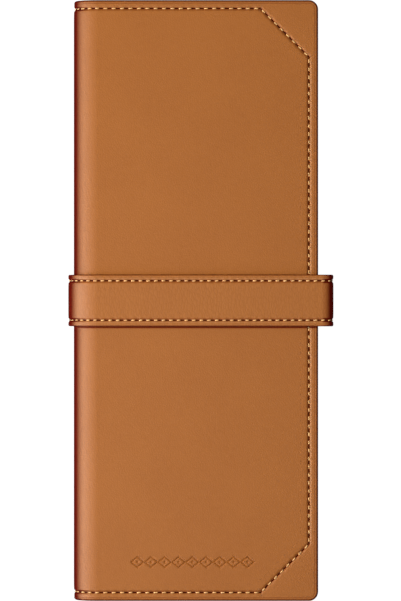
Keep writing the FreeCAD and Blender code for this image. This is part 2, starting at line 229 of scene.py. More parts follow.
def sheet(name, path, s_values, v_values, layers, marks, material, finished=(False, False)):
    """A closed piece of sheet. The first layer shapes its show face and the last one its other
    face, each over the whole grid, and the layers between shape its rim. A finished end has a rim
    as the two sides have, and any other end is a plain cut that meets the next piece."""
    s, v = np.meshgrid(s_values, v_values, indexing="ij")
    rows, columns = s.shape
    rim = np.zeros(s.shape, bool)
    rim[:, [0, -1]] = True
    rim[0] |= finished[0]
    rim[-1] |= finished[1]
    points, sheet_marks, seam_marks, levels = [], [], [], []
    count = 0
    for depth, layer in enumerate(layers):
        full = depth in (0, len(layers) - 1)
        chosen = np.ones(s.shape, bool) if full else rim
        number = np.full(s.shape, -1)
        number[chosen] = count + np.arange(chosen.sum())
        count += chosen.sum()
        levels.append(number)
        ls, lv, ln = (np.broadcast_to(a, s.shape)[chosen] for a in layer(s, v))
        points.append(path.place(ls, lv, ln))
        sheet_marks.append(np.stack([ls, lv, ln], axis=-1))
        found = [np.broadcast_to(a, np.shape(ls)) for a in marks(ls, lv)]
        seam_marks.append(np.stack(found, axis=-1))

    faces = []
    for grid in (levels[0], levels[-1]):
        quads = np.stack([grid[:-1, :-1], grid[1:, :-1], grid[1:, 1:], grid[:-1, 1:]], axis=-1)
        faces += quads.reshape(-1, 4).tolist()
    ends = [end for end in (0, -1) if finished[end]]
    for upper, lower in zip(levels, levels[1:]):
        lines = [(upper[:, c], lower[:, c]) for c in (0, -1)]
        lines += [(upper[e], lower[e]) for e in ends]
        for a, b in lines:
            faces += np.stack([a[:-1], a[1:], b[1:], b[:-1]], axis=-1).tolist()
    for end in (0, -1):
        if not finished[end]:
            a, b = levels[0][end], levels[-1][end]
            faces += np.stack([a[:-1], a[1:], b[1:], b[:-1]], axis=-1).tolist()
            if len(levels) > 2:
                faces += [[int(level[end][c]) for level in levels] for c in (0, -1)]
    found = {"sheet": np.concatenate(sheet_marks), "seam": np.concatenate(seam_marks)}
    return add_object(name, np.concatenate(points), faces, found, material)


def steps(low, high, size):
    """Even samples from low to high, about size apart."""
    return np.linspace(low, high, max(2, int(math.ceil((high - low) / size)) + 1))


def join(*samples):
    """Sorted samples without near repeats."""
    merged = np.unique(np.concatenate([np.atleast_1d(a) for a in samples]).round(4))
    return merged[np.concatenate([[True], np.diff(merged) > 0.02])]


def rounded_edge(radius, count=5):
    """Distances from an edge that sample its rounding evenly."""
    return radius * (1 - np.cos(np.linspace(0, math.pi / 2, count + 1)))


def both_sides(half, distances):
    """Distances in from two opposite edges, as places across the sheet."""
    distances = distances[distances < half - 0.1]
    return join(distances - half, [0.0], half - distances)


def curved(low, high, size):
    """Samples whose outermost steps are tiny, so that two pieces shade alike where they meet."""
    return join(low, low + 0.06, steps(low, high, size)[1:-1], high - 0.06, high)


def fit_corner(a, b, radius, inset_a, inset_b):
    """Takes distances from two edges that meet to a rounded outline, moved in by the insets."""
    near_a, near_b = a < radius, b < radius
    fitted_a = np.where(near_a, inset_a + a * (radius - inset_a) / radius, a)
    fitted_b = np.where(near_b, inset_b + b * (radius - inset_b) / radius, b)
    pa, pb = np.clip(1 - a / radius, 0, 1), np.clip(1 - b / radius, 0, 1)
    share = np.maximum(pa, pb) / np.maximum(np.hypot(pa, pb), 1e-9)
    both = near_a & near_b
    fitted_a = np.where(both, radius - pa * share * (radius - inset_a), fitted_a)
    fitted_b = np.where(both, radius - pb * share * (radius - inset_b), fitted_b)
    return fitted_a, fitted_b


def from_outline(a, b, radius):
    """Distance from a rounded outline, given the distances from its two straight edges."""
    rounded = radius - np.hypot(radius - a, radius - b)
    return np.where((a < radius) & (b < radius), rounded, np.minimum(a, b))


def fallen(distance, radius):
    """How far a rounded edge has dropped, at a distance in from it."""
    short = np.clip(radius - distance, 0, radius)
    return radius - np.sqrt(radius**2 - short**2)


def pulled_in(inside, groove=0.45, pull=0.30, reach=3.2):
    """How deep a seam draws the leather in, at a distance inside it. Outside it the leather slopes
    gently down to the seam, and inside it the leather is held flat by the board."""
    spread = np.where(inside < 0, reach, 1.1)
    width = np.where(inside < 0, 0.66, 0.78)
    return groove * np.exp(-((inside / width) ** 4)) + pull * np.exp(-np.abs(inside) / spread)


def edge_burnish_and_shade(edge):
    """How dark the leather is painted at a distance from its edge, from 0 to 1: a dark rim that is
    partly burnish and partly painted shade where the edge rolls away, and a line of painted shade
    in the crease.
    """
    # Painted shade in the creased line.
    crease = 0.5 * np.exp(-(((edge - EDGE_CREASE) / 0.17) ** 2))
    return np.maximum(0.95 * (1 - smooth(edge, 0.4, 1.05)), crease)


# ---------------------------------------------------------------- threads


class Run:
    """A straight row of stitches on a sheet, from one place to another."""

    def __init__(self, start, end, count):
        self.start, self.end = np.array(start, float), np.array(end, float)
        self.length = np.linalg.norm(self.end - self.start)
        self.count = count

    def middles(self):
        share = (np.arange(self.count) + 0.5) / self.count
        return self.start + share[:, None] * (self.end - self.start)


THREAD_STEPS, THREAD_SIDES = 9, 8
THREAD_FILL = 0.27  # half of a stitch's length, as a share of the pitch


def stitches(name, path, runs, low, high, level, facing, material):
    """The stitches of the runs whose middles lie between low and high. They rest on the level and
    sink at both ends. facing is 1 on the show face and -1 on the other one."""
    points, faces, marks = [], [], []
    along = np.linspace(-1, 1, THREAD_STEPS)
    around = np.linspace(0, 2 * math.pi, THREAD_SIDES, endpoint=False)
    for run in runs:
        direction = (run.end - run.start) / run.length
        across = np.array([-direction[1], direction[0]])
        reach = THREAD_FILL * run.length / run.count
        for middle in run.middles():
            if not low <= middle[0] < high:
                continue
            first = len(points) * THREAD_STEPS * THREAD_SIDES
            t, turn = np.meshgrid(along, around, indexing="ij")
            radius = THREAD / 2 * (0.9 - 0.3 * t**6)
            aside = radius * np.cos(turn) + 0.09 * t
            height = radius * (1 + np.sin(turn)) - 0.08 - 0.75 * t**4
            s = middle[0] + direction[0] * t * reach + across[0] * aside
            v = middle[1] + direction[1] * t * reach + across[1] * aside
            points.append(path.place(s, v, level + facing * height).reshape(-1, 3))
            marks.append(np.stack([t * reach, turn, 0 * t], axis=-1).reshape(-1, 3))
            ring = first + np.arange(THREAD_STEPS * THREAD_SIDES).reshape(t.shape)
            turned = np.roll(ring, -1, axis=1)
            quads = np.stack([ring[:-1], ring[1:], turned[1:], turned[:-1]], axis=-1)
            faces += quads.reshape(-1, 4).tolist()
            faces += [ring[0].tolist(), ring[-1][::-1].tolist()]
    if not points:
        return None
    found = {"thread": np.concatenate(marks)}
    return add_object(name, np.concatenate(points), faces, found, material, sharp=70)


# ---------------------------------------------------------------- cloth

CLOTH_FRAMES = 20


def simulated(place, s_values, v_values, held, pressure, limit):
    """How far slack cloth moves from its place when air pushes it out and it is held by its seams.
    Gives a function of the place on the sheet. A point moves less than the limit."""
    s, v = np.meshgrid(s_values, v_values, indexing="ij")
    start = place(s, v, 0 * s).reshape(-1, 3) * MM
    number = np.arange(s.size).reshape(s.shape)
    corners = (number[:-1, :-1], number[1:, :-1], number[1:, 1:], number[:-1, 1:])
    mesh = bpy.data.meshes.new("cloth")
    mesh.from_pydata(start.tolist(), [], np.stack(corners, axis=-1).reshape(-1, 4).tolist())
    piece = bpy.data.objects.new("cloth", mesh)
    bpy.context.scene.collection.objects.link(piece)
    piece.vertex_groups.new(name="held").add(number[held(s, v)].tolist(), 1.0, "REPLACE")
    cloth = piece.modifiers.new("cloth", "CLOTH")
    cloth.settings.vertex_group_mass = "held"
    cloth.settings.use_pressure = True
    cloth.settings.uniform_pressure_force = pressure
    cloth.settings.shrink_min = -0.05
    cloth.settings.effector_weights.gravity = 0.0
    cloth.settings.quality = 8
    cloth.collision_settings.use_collision = False
    for frame in range(1, CLOTH_FRAMES + 1):
        bpy.context.scene.frame_set(frame)
    shaped = piece.evaluated_get(bpy.context.evaluated_depsgraph_get()).to_mesh()
    ended = np.empty(start.size)
    shaped.vertices.foreach_get("co", ended)
    bpy.data.objects.remove(piece)
    moved = (ended.reshape(start.shape) - start) / MM
    far = np.linalg.norm(moved, axis=-1, keepdims=True)
    moved = (moved * limit / (limit**4 + far**4) ** 0.25).reshape(*s.shape, 3)
    bpy.context.scene.frame_set(1)

    def field(s, v):
        i = np.interp(s, s_values, np.arange(len(s_values)))
        j = np.interp(v, v_values, np.arange(len(v_values)))
        i0, j0 = (np.minimum(k.astype(int), n - 2) for k, n in ((i, s_values.size), (j, v_values.size)))
        di, dj = (i - i0)[..., None], (j - j0)[..., None]
        near = moved[i0, j0] * (1 - dj) + moved[i0, j0 + 1] * dj
        far_side = moved[i0 + 1, j0] * (1 - dj) + moved[i0 + 1, j0 + 1] * dj
        return near * (1 - di) + far_side * di

    return field


# ---------------------------------------------------------------- materials


class Shader:
    """Builds a material's node tree. Sockets are passed about as values."""

    def __init__(self, name):
        self.material = bpy.data.materials.new(name)
        self.material.use_nodes = True
        self.tree = self.material.node_tree
        self.tree.nodes.clear()
        self.surface = self.add("ShaderNodeBsdfPrincipled")
        output = self.add("ShaderNodeOutputMaterial")
        self.tree.links.new(self.surface.outputs[0], output.inputs["Surface"])

    def add(self, kind, settings=None, **inputs):
        node = self.tree.nodes.new(kind)
        for key, value in (settings or {}).items():
            setattr(node, key, value)
        for key, value in inputs.items():
            self.put(node, key.replace("_", " "), value)
        return node

    def put(self, node, key, value):
        socket = node.inputs[key]
        if isinstance(value, bpy.types.NodeSocket):
            self.tree.links.new(value, socket)
        else:
            socket.default_value = value

    def math(self, operation, a, b=0.0, c=0.0, clamp=False):
        node = self.add("ShaderNodeMath", {"operation": operation, "use_clamp": clamp})
        for index, value in enumerate((a, b, c)):
            if isinstance(value, bpy.types.NodeSocket):
                self.tree.links.new(value, node.inputs[index])
            else:
                node.inputs[index].default_value = value
        return node.outputs[0]

    def marks(self, name):
        """An attribute as a vector, and as its three parts."""
        vector = self.add("ShaderNodeAttribute", {"attribute_name": name}).outputs["Vector"]
        parts = self.add("ShaderNodeSeparateXYZ")
        self.tree.links.new(vector, parts.inputs[0])
        return vector, parts.outputs

    def scaled(self, vector, scale):
        node = self.add("ShaderNodeVectorMath", {"operation": "MULTIPLY"})
        self.tree.links.new(vector, node.inputs[0])
        node.inputs[1].default_value = scale
        return node.outputs[0]

    def noise(self, vector, scale, detail=2.0, roughness=0.5, distortion=0.0):
        return self.add(
            "ShaderNodeTexNoise",
            Vector=vector, Scale=scale, Detail=detail, Roughness=roughness, Distortion=distortion,
        ).outputs["Fac"]

    def cells(self, vector, scale, feature="F1"):
        node = self.add("ShaderNodeTexVoronoi", {"feature": feature}, Vector=vector, Scale=scale)
        return node.outputs["Distance"]

    def range(self, value, low, high, to_low=0.0, to_high=1.0):
        node = self.add("ShaderNodeMapRange", {"interpolation_type": "SMOOTHSTEP"})
        for key, item in (("Value", value), ("From Min", low), ("From Max", high)):
            self.put(node, key, item)
        self.put(node, "To Min", to_low)
        self.put(node, "To Max", to_high)
        return node.outputs[0]

    def mix(self, share, a, b, blend="MIX"):
        node = self.add("ShaderNodeMix", {"data_type": "RGBA", "blend_type": blend})
        for index, value in ((0, share), (6, a), (7, b)):
            if isinstance(value, bpy.types.NodeSocket):
                self.tree.links.new(value, node.inputs[index])
            else:
                node.inputs[index].default_value = (*value, 1) if index else value
        return node.outputs[2]

    def bump(self, height, depth_mm, strength=1.0):
        node = self.add("ShaderNodeBump", Strength=strength, Distance=depth_mm * MM, Height=height)
        self.tree.links.new(node.outputs[0], self.surface.inputs["Normal"])

    def finish(self, **inputs):
        for key, value in inputs.items():
            self.put(self.surface, key.replace("_", " "), value)
        return self.material


class Fold:
    """A fold across a sheet: its place, the reach of the painted shade on it, and how far it must
    turn from the viewer before the painted shade starts and fills it."""

    def __init__(self, place, reach, start, full):
        self.place, self.reach, self.start, self.full = place, reach, start, full


def leather(name, colour, pebble, stretch, contrast, roughness, wall_highlight, folds):
    """Grained leather. pebble is the grain's cell size, and stretch draws the cells out across
    the sheet. The seam's third value darkens it with burnish and with painted shade and shadow,
    and the holes punched between the stitches are painted dark as the shade in them. The argument
    after roughness sets how strong a painted highlight, a paler colour, is along the outer side of a
    seam."""
    shader = Shader(name)
    dark = tuple(part * share for part, share in zip(colour, (0.80, 0.72, 0.55)))
    light = tuple(part * share for part, share in zip(colour, (1.12, 1.22, 1.50)))
    # A painted highlight: a paler, pinker copy of the leather's colour for the outer wall of a seam.
    highlight_tint = tuple(part * share for part, share in zip(colour, (1.55, 2.3, 6.5)))
    sheet_at, sheet_parts = shader.marks("sheet")
    _, (phase, inside, burnish_and_shade) = shader.marks("seam")
    grain_at = shader.scaled(sheet_at, (1 / pebble, stretch / pebble, 1 / pebble))

    # Painted shade at each fold: the further the leather there turns from the viewer, the darker.
    turned = shader.add("ShaderNodeLayerWeight").outputs["Facing"]
    for fold in folds:
        near = shader.math("ABSOLUTE", shader.math("SUBTRACT", sheet_parts[0], fold.place))
        near = shader.range(near, 0.8 * fold.reach, fold.reach, 1.0, 0.0)
        deep = shader.math("MULTIPLY", near, shader.range(turned, fold.start, fold.full))
        burnish_and_shade = shader.math("MAXIMUM", burnish_and_shade, deep)

    warp = shader.noise(grain_at, 0.9, 2.0)
    warped = shader.add("ShaderNodeVectorMath", {"operation": "MULTIPLY_ADD"})
    shader.tree.links.new(warp, warped.inputs[0])
    warped.inputs[1].default_value = (0.9, 0.9, 0.9)
    shader.tree.links.new(grain_at, warped.inputs[2])
    pebbles = shader.cells(warped.outputs[0], 1.0)
    creases = shader.range(shader.cells(warped.outputs[0], 1.0, "DISTANCE_TO_EDGE"), 0.0, 0.16)
    fine = shader.noise(sheet_at, 2.6, 3.0, 0.6)
    pores = shader.range(shader.cells(sheet_at, 2.2), 0.10, 0.24)
    cloud = shader.noise(sheet_at, 0.03, 3.0, 0.55)
    mottle = shader.noise(sheet_at, 0.4, 4.0, 0.6)

    base = shader.mix(shader.range(cloud, 0.3, 0.7, 0.0, 0.22), colour, dark)
    base = shader.mix(shader.range(mottle, 0.3, 0.7, 0.0, 0.2), base, light)
    base = shader.mix(shader.range(creases, 0.0, 1.0, contrast, 0.0), base, dark)
    base = shader.mix(shader.range(pores, 0.0, 1.0, contrast, 0.0), base, dark)

    away = shader.math("ABSOLUTE", inside)
    hole_at = shader.math("ABSOLUTE", shader.math("SUBTRACT", shader.math("FRACT", phase), 0.5))
    hole = shader.math(
        "MULTIPLY",
        shader.range(hole_at, 0.24, 0.31),
        shader.range(away, 0.16, 0.40, 1.0, 0.0),
    )
    # Painted shade on the inner wall of the seam's groove, in a dark red-brown.
    groove_shade = shader.range(inside, 0.55, 1.3, 0.4, 0.0)
    groove_shade = shader.math("MULTIPLY", groove_shade, shader.range(inside, -0.6, -0.35))
    base = shader.mix(groove_shade, base, (0.24, 0.045, 0.003))
    # Painted highlight along each seam's outer wall, weaker near the case's ends.
    wall = shader.math("ABSOLUTE", shader.math("ADD", inside, 0.82))
    off_middle = shader.math("ABSOLUTE", sheet_parts[1])
    wall_highlight = shader.range(off_middle, HALF - 28, HALF - 24, wall_highlight, 0.1)
    pale = shader.math("MULTIPLY", shader.range(wall, 0.1, 0.36, 1.0, 0.0), wall_highlight)
    base = shader.mix(pale, base, highlight_tint)
    # Dark red mixed in: burnish on cut edges, painted shade at rolled edges and folds, and a painted
    # shadow beside the strap.
    base = shader.mix(burnish_and_shade, base, BURNISH_AND_SHADE)
    # The stitch holes are painted dark as the shade inside them.
    base = shader.mix(hole, base, (0.060, 0.004, 0.0005))

    pucker = shader.math("COSINE", shader.math("MULTIPLY", phase, 2 * math.pi))
    pucker = shader.math("MULTIPLY", pucker, shader.range(away, 0.5, 2.2, -1.1, 0.0))
    height = shader.math("MULTIPLY_ADD", pebbles, -0.5, shader.math("MULTIPLY", creases, 0.55))
    height = shader.math("MULTIPLY_ADD", fine, 0.45, height)
    height = shader.math("MULTIPLY_ADD", pores, 0.25, height)
    height = shader.math("MULTIPLY_ADD", hole, -4.0, height)
    height = shader.math("ADD", pucker, height)
    shader.bump(height, 0.055)
    dull = shader.math("MAXIMUM", burnish_and_shade, hole)
    shine = shader.math("MULTIPLY_ADD", dull, -0.28, 0.3)
    return shader.finish(Base_Color=base, Roughness=roughness, Specular_IOR_Level=shine)


def thread_material():
    """Two-strand waxed thread, with the twist as a slanted ridge."""
    shader = Shader("waxed_thread")
    _, thread = shader.marks("thread")
    twist = shader.math("MULTIPLY_ADD", thread[0], 5.2, thread[1])
    ridge = shader.math("SINE", shader.math("MULTIPLY", twist, 2.0))
    fibre = shader.noise(shader.marks("thread")[0], 6.0, 3.0)
    # The darker colour in the grooves between the twisted strands is painted shade.
    share = shader.range(ridge, -1.0, 0.6, 0.4, 0.0)
    colour = shader.mix(share, (1.0, 0.60, 0.21), (0.66, 0.29, 0.07))
    colour = shader.mix(shader.range(fibre, 0.3, 0.7, 0.0, 0.3), colour, (1.0, 0.68, 0.31))
    shader.bump(shader.math("MULTIPLY_ADD", fibre, 0.3, ridge), 0.05)
    return shader.finish(
        Base_Color=colour, Roughness=0.42, Specular_IOR_Level=0.5, Sheen_Weight=0.15
    )


def suede(name, colour, dark):
    """Brushed microfibre lining: short nap with soft streaks, and needle holes at the seam."""
    shader = Shader(name)
    sheet_at, _ = shader.marks("sheet")
    _, seam = shader.marks("seam")
    nap = shader.noise(sheet_at, 3.4, 4.0, 0.7)
    brushed = shader.noise(shader.scaled(sheet_at, (0.30, 0.05, 0.30)), 1.0, 4.0, 0.6, 0.4)
    cloud = shader.noise(sheet_at, 0.035, 3.0, 0.6)
    base = shader.mix(shader.range(cloud, 0.35, 0.65, 0.05, 0.35), colour, dark)
    base = shader.mix(shader.range(brushed, 0.4, 0.62, 0.0, 0.3), base, dark)
    base = shader.mix(shader.range(nap, 0.35, 0.65, 0.0, 0.5), base, dark)
    away = shader.math("ABSOLUTE", seam[1])
    hole_at = shader.math("ABSOLUTE", shader.math("SUBTRACT", shader.math("FRACT", seam[0]), 0.5))
    hole = shader.math(
        "MULTIPLY", shader.range(hole_at, 0.36, 0.44), shader.range(away, 0.25, 0.5, 1.0, 0.0)
    )
    # The needle holes are painted dark as the shade inside them.
    base = shader.mix(hole, base, (0.01, 0.006, 0.004))
    shader.bump(shader.math("MULTIPLY_ADD", hole, -2.0, nap), 0.10)
    return shader.finish(
        Base_Color=base, Roughness=0.95, Specular_IOR_Level=0.1,
        Sheen_Weight=0.35, Sheen_Roughness=0.5, Sheen_Tint=(0.9, 0.6, 0.42, 1),
    )


def woven(name, colour, dark, warp_mm, weft_mm, roughness=0.85):
    """A plain weave: threads rise and dip by turns in both directions."""
    shader = Shader(name)
    sheet_at, parts = shader.marks("sheet")
    across = shader.math("SINE", shader.math("MULTIPLY", parts[0], math.pi / warp_mm))
    along = shader.math("SINE", shader.math("MULTIPLY", parts[1], math.pi / weft_mm))
    over = shader.math("MULTIPLY", across, along)
    slub = shader.noise(shader.scaled(sheet_at, (0.5, 0.12, 0.5)), 1.0, 4.0, 0.6)
    fuzz = shader.noise(sheet_at, 5.0, 3.0)
    base = shader.mix(shader.range(over, -0.8, 0.8, 0.75, 0.0), colour, dark)
    base = shader.mix(shader.range(slub, 0.35, 0.65, 0.0, 0.4), base, dark)
    height = shader.math("MULTIPLY_ADD", fuzz, 0.5, shader.math("ABSOLUTE", over))
    shader.bump(height, 0.12)
    return shader.finish(
        Base_Color=base, Roughness=roughness, Specular_IOR_Level=0.2, Sheen_Weight=0.2
    )


def grey_board():
    """Pressed fibre board with flecks."""
    shader = Shader("grey_board")
    place = shader.add("ShaderNodeTexCoord").outputs["Object"]
    fleck = shader.noise(place, 900.0, 5.0, 0.7)
    cloud = shader.noise(place, 60.0, 3.0)
    base = shader.mix(shader.range(fleck, 0.4, 0.62), (0.33, 0.29, 0.24), (0.17, 0.145, 0.115))
    base = shader.mix(shader.range(cloud, 0.3, 0.7, 0.0, 0.3), base, (0.42, 0.38, 0.32))
    shader.bump(fleck, 0.06)
    return shader.finish(Base_Color=base, Roughness=0.9, Specular_IOR_Level=0.2)


def nickel():
    """A nickel-plated disc with fine turning marks."""
    shader = Shader("nickel_plate")
    place = shader.add("ShaderNodeTexCoord").outputs["Object"]
    mark = shader.noise(shader.scaled(place, (200.0, 4000.0, 200.0)), 1.0, 3.0)
    base = shader.mix(mark, (0.62, 0.60, 0.56), (0.78, 0.76, 0.72))
    shader.bump(mark, 0.01)
    return shader.finish(Base_Color=base, Roughness=0.3, Metallic=1.0)


# The dark red of burnish, used also for painted shade and a painted shadow.
BURNISH_AND_SHADE = (0.115, 0.004, 0.0003)
# The spine and the strap's bends are painted with shade where they turn away from the viewer.
SPINE_FOLD = Fold(CASE_LENGTH / 2, 1.25 * ROLL, 0.16, 0.60)
STRAP_FOLDS = [
    Fold((ROLL_START + ROLL_END) / 2, 1.25 * STRAP_TOP / 2, 0.20, 0.60),
    Fold(TAIL_END, TAIL_END - TAIL_START + 1.5, -0.12, 0.26),
]
PANEL_LEATHER = leather(
    "panel_leather", (0.358, 0.112, 0.015), pebble=0.85, stretch=0.9, contrast=0.09, roughness=0.6,
    wall_highlight=0.6, folds=[SPINE_FOLD],
)
STRAP_LEATHER = leather(
    "strap_leather", (0.366, 0.118, 0.018), pebble=1.15, stretch=0.42, contrast=0.3, roughness=0.58,
    wall_highlight=0.3, folds=STRAP_FOLDS,
)
BINDING_LEATHER = leather(
    "binding_leather", (0.366, 0.118, 0.018), pebble=1.15, stretch=0.42, contrast=0.3,
    roughness=0.58, wall_highlight=0.3, folds=[],
)
WAXED_THREAD = thread_material()
SUEDE = suede("suede_lining", (0.150, 0.066, 0.030), (0.070, 0.029, 0.014))
SLEEVE_CLOTH = woven("sleeve_canvas", (0.245, 0.140, 0.072), (0.105, 0.056, 0.029), 0.75, 0.75)
POCKET_CLOTH = woven("pocket_canvas", (0.230, 0.132, 0.070), (0.098, 0.053, 0.028), 0.75, 0.75)
ELASTIC = woven("ribbed_elastic", (0.030, 0.021, 0.016), (0.008, 0.006, 0.005), 0.55, 1.1, 0.7)
PADDING = woven("felt_padding", (0.62, 0.58, 0.50), (0.42, 0.38, 0.32), 0.5, 0.6, 0.95)
BOARD = grey_board()
STEEL = nickel()


# ---------------------------------------------------------------- the case's leather and lining

SIDE_REACH = HALF - SEAM_END - SEAM_CUT  # half of the straight run up the closing edge
END_START = SEAM_SIDE + SEAM_CUT


def from_edges(s, v):
    """Distances from the nearer closing edge, and from the nearer end."""
    return np.minimum(s, CASE_LENGTH - s), HALF - np.abs(v)


def case_seam(s, v):
    """Stitches counted along the seam, and distance inside it."""
    a, b = from_edges(s, v)
    side, end = a - SEAM_SIDE, b - SEAM_END
    corner = (side + end - SEAM_CUT) / math.sqrt(2)
    inside = np.minimum(np.minimum(side, end), corner)
    side_phase = (v + SIDE_REACH) / (2 * SIDE_REACH) * SIDE_STITCHES
    end_phase = (s - END_START) / (CASE_LENGTH - 2 * END_START) * END_STITCHES
    phase = np.where(inside == side, side_phase, end_phase)
    return np.where(inside == corner, side / SEAM_CUT * CORNER_STITCHES, phase), inside


def case_marks(s, v):
    """The seam's two values, and how dark the leather is painted: burnish and painted shade at
    the edges, and a painted shadow along the strap's lower edge.
    """
    phase, inside = case_seam(s, v)
    # A painted shadow along the strap's lower edge, which stays on the case when the strap is lifted.
    strap_shadow = np.exp(-(((v + STRAP_HALF + 0.4) / 0.40) ** 4))
    return phase, inside, np.maximum(edge_burnish_and_shade(from_outline(*from_edges(s, v), CORNER)), strap_shadow)


def case_thick(s):
    """Panels are thick, and thin down to leather and lining alone where the spine begins."""
    panel = np.where(s < CASE_LENGTH / 2, BACK_THICK, COVER_THICK)
    share = smooth(FLAT - np.minimum(s, CASE_LENGTH - s), 0, 4.0)
    return SPINE_THICK + (panel - SPINE_THICK) * share


def case_fit(s, v, inset_side=0.0, inset_end=0.0):
    """The sheet's place once its closing corners are rounded and its outline is moved in."""
    a, b = from_edges(s, v)
    a, b = fit_corner(a, b, CORNER, inset_side, inset_end)
    return np.where(s < CASE_LENGTH / 2, a, CASE_LENGTH - a), np.sign(v) * (HALF - b)


ORNAMENT_S, ORNAMENT_V = CASE_LENGTH - EDGE_X - 1.4, -117.5
LOZENGE_WIDE, LOZENGE_TALL, LOZENGES = 6.18, 5.0, 9


def ornament(s, v):
    """A plain row of pressed lozenges, each with a dot in it, as a depth from 0 to 1."""
    across = (s - ORNAMENT_S) / LOZENGE_WIDE
    ds = np.abs(across - np.clip(np.round(across), -(LOZENGES // 2), LOZENGES // 2))
    dv = np.abs(v - ORNAMENT_V) / LOZENGE_TALL
    outline = np.abs(ds + dv - 0.46) * LOZENGE_TALL
    dot = (ds + dv) * LOZENGE_TALL
    return 1 - np.minimum(smooth(outline, 0.12, 0.42), smooth(dot, 0.35, 0.75))


def case_show(s, v):
    _, inside = case_seam(s, v)
    edge = np.minimum(*from_edges(s, v))
    crease = 0.10 * np.exp(-(((edge - EDGE_CREASE) / 0.2) ** 2))
    n = -fallen(edge, EDGE_ROLL) - pulled_in(inside) - crease - 0.45 * ornament(s, v)
    return (*case_fit(s, v), n)


def case_rim(inset_side, inset_end, depth):
    """A layer of the rim; depth takes the sheet's whole thickness there."""
    return lambda s, v: (*case_fit(s, v, inset_side, inset_end), -depth(case_thick(s)))


HEM_SIDE, HEM_END = SEAM_SIDE - SEAM_MARGIN, SEAM_END - SEAM_MARGIN
HEM_CUT = SEAM_SIDE + SEAM_END + SEAM_CUT - SEAM_MARGIN * math.sqrt(2)  # both distances added up


def case_hem(depth):
    """The inner edge of the leather that is turned in, which cuts the corners as the seam does."""

    def layer(s, v):
        a, b = from_edges(s, v)
        a, b = fit_corner(a, b, CORNER, HEM_SIDE, HEM_END)
        short = np.maximum(HEM_CUT - a - b, 0) / 2
        place = np.where(s < CASE_LENGTH / 2, a + short, CASE_LENGTH - a - short)
        return place, np.sign(v) * (HALF - b - short), -depth(case_thick(s))

    return layer


CASE_LAYERS = [
    case_show,
    case_rim(0, 0, lambda thick: thick - 0.5),
    case_rim(0.15, 0.15, lambda thick: thick - 0.15),
    case_rim(0.5, 0.5, lambda thick: thick),
    case_rim(1.1, 1.1, lambda thick: thick),
    case_hem(lambda thick: thick),
    case_hem(lambda thick: thick - LINING + 0.02),
    case_rim(SKIN, SKIN, lambda thick: thick - LINING + 0.02),
    case_rim(SKIN, SKIN, lambda thick: SKIN + 0 * thick),
]
SEAM_FINE = join(
    rounded_edge(EDGE_ROLL, 6), steps(1.1, 1.8, 0.1), steps(1.8, SEAM_END - 1.2, 0.4),
    steps(SEAM_END - 1.2, SEAM_SIDE + 1.2, 0.15), steps(SEAM_SIDE + 1.2, 7.5, 0.5),
)
SQUARE_FINE = join(SEAM_FINE, steps(7.5, SEAM_SIDE + SEAM_CUT + 3.5, 0.36))
STRAP_LINE = HALF - STRAP_HALF + steps(-0.8, 0.6, 0.14)
ACROSS = both_sides(HALF, join(SQUARE_FINE, steps(29.2, HALF, 2.6), STRAP_LINE))


def panel_samples(extra=()):
    away = join(SQUARE_FINE, steps(29.2, FLAT, 2.6), extra)
    return join(away[away < FLAT - 0.05], FLAT - 0.06, FLAT)


def attach(piece, segment):
    """Makes a piece move with its one body. A piece whose stretch bends between two bodies only has its
    transform baked in.
    """
    if len(segment) == 1:
        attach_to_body(piece, segment[0])
    else:
        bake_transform(piece)
    return piece


def crease_segment(path, level, start, turn, index):
    """The two bodies that meet at one crease of the spine, and where the bend starts and ends."""
    bodies = ["back"] + [f"spine_{k}" for k in range(1, CREASES)] + ["cover"]
    low, high = start + turn * index / CREASES, start + turn * (index + 1) / CREASES
    ends = path.point(low, level), path.point(high, level)
    return low, high, (bodies[index], bodies[index + 1], *ends)


def spine_segments(path, start, turn, level):
    return [crease_segment(path, level, start, turn, index) for index in range(CREASES)]


def case_leather():
    low = sheet(
        "back_leather", CASE, panel_samples(), ACROSS, CASE_LAYERS, case_marks, PANEL_LEATHER,
        finished=(True, False),
    )
    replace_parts(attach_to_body(low, "back"), "back_skin")
    reach = (LOZENGES / 2 + 0.2) * LOZENGE_WIDE
    pressed = CASE_LENGTH - ORNAMENT_S + steps(-reach, reach, 0.26)
    high = sheet(
        "cover_leather", CASE, CASE_LENGTH - panel_samples(pressed)[::-1],
        ACROSS, CASE_LAYERS, case_marks, PANEL_LEATHER, finished=(False, True),
    )
    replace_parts(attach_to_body(high, "cover"), "cover_skin")
    for index, (start, end, segment) in enumerate(spine_segments(CASE, FLAT, math.pi * ROLL, -SKIN)):
        piece = sheet(
            f"spine_leather_{index + 1}", CASE, curved(start, end, 0.48), ACROSS,
            CASE_LAYERS, case_marks, PANEL_LEATHER,
        )
        attach(piece, segment)
        if index:
            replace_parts(piece, f"spine_skin_{index}")


def lining_reach(s):
    """Half of the lining's width, which narrows where the seam cuts the corners."""
    a, _ = from_edges(s, 0 * s)
    return HALF - np.maximum(HEM_END + 0.06, HEM_CUT - a)


def lining_layer(depth, inset=0.0, shaped=False):
    """depth is how far under the panel's inner face. The grid's v is a share of the width."""

    def layer(s, share):
        a = np.minimum(s, CASE_LENGTH - s)
        squeezed = HEM_SIDE + 0.06 + inset
        a = np.where(a < 8, squeezed + (a - HEM_SIDE) * (8 - squeezed) / (8 - HEM_SIDE), a)
        moved = np.where(s < CASE_LENGTH / 2, a, CASE_LENGTH - a)
        v = share * (lining_reach(moved) - inset)
        n = -case_thick(moved) + depth
        if shaped:
            _, inside = case_seam(moved, v)
            away = np.minimum(a - squeezed, (1 - np.abs(share)) * lining_reach(moved))
            n = n + pulled_in(inside, 0.18, 0.12, 1.1) + fallen(away, 0.3)
        return moved, v, n

    return layer


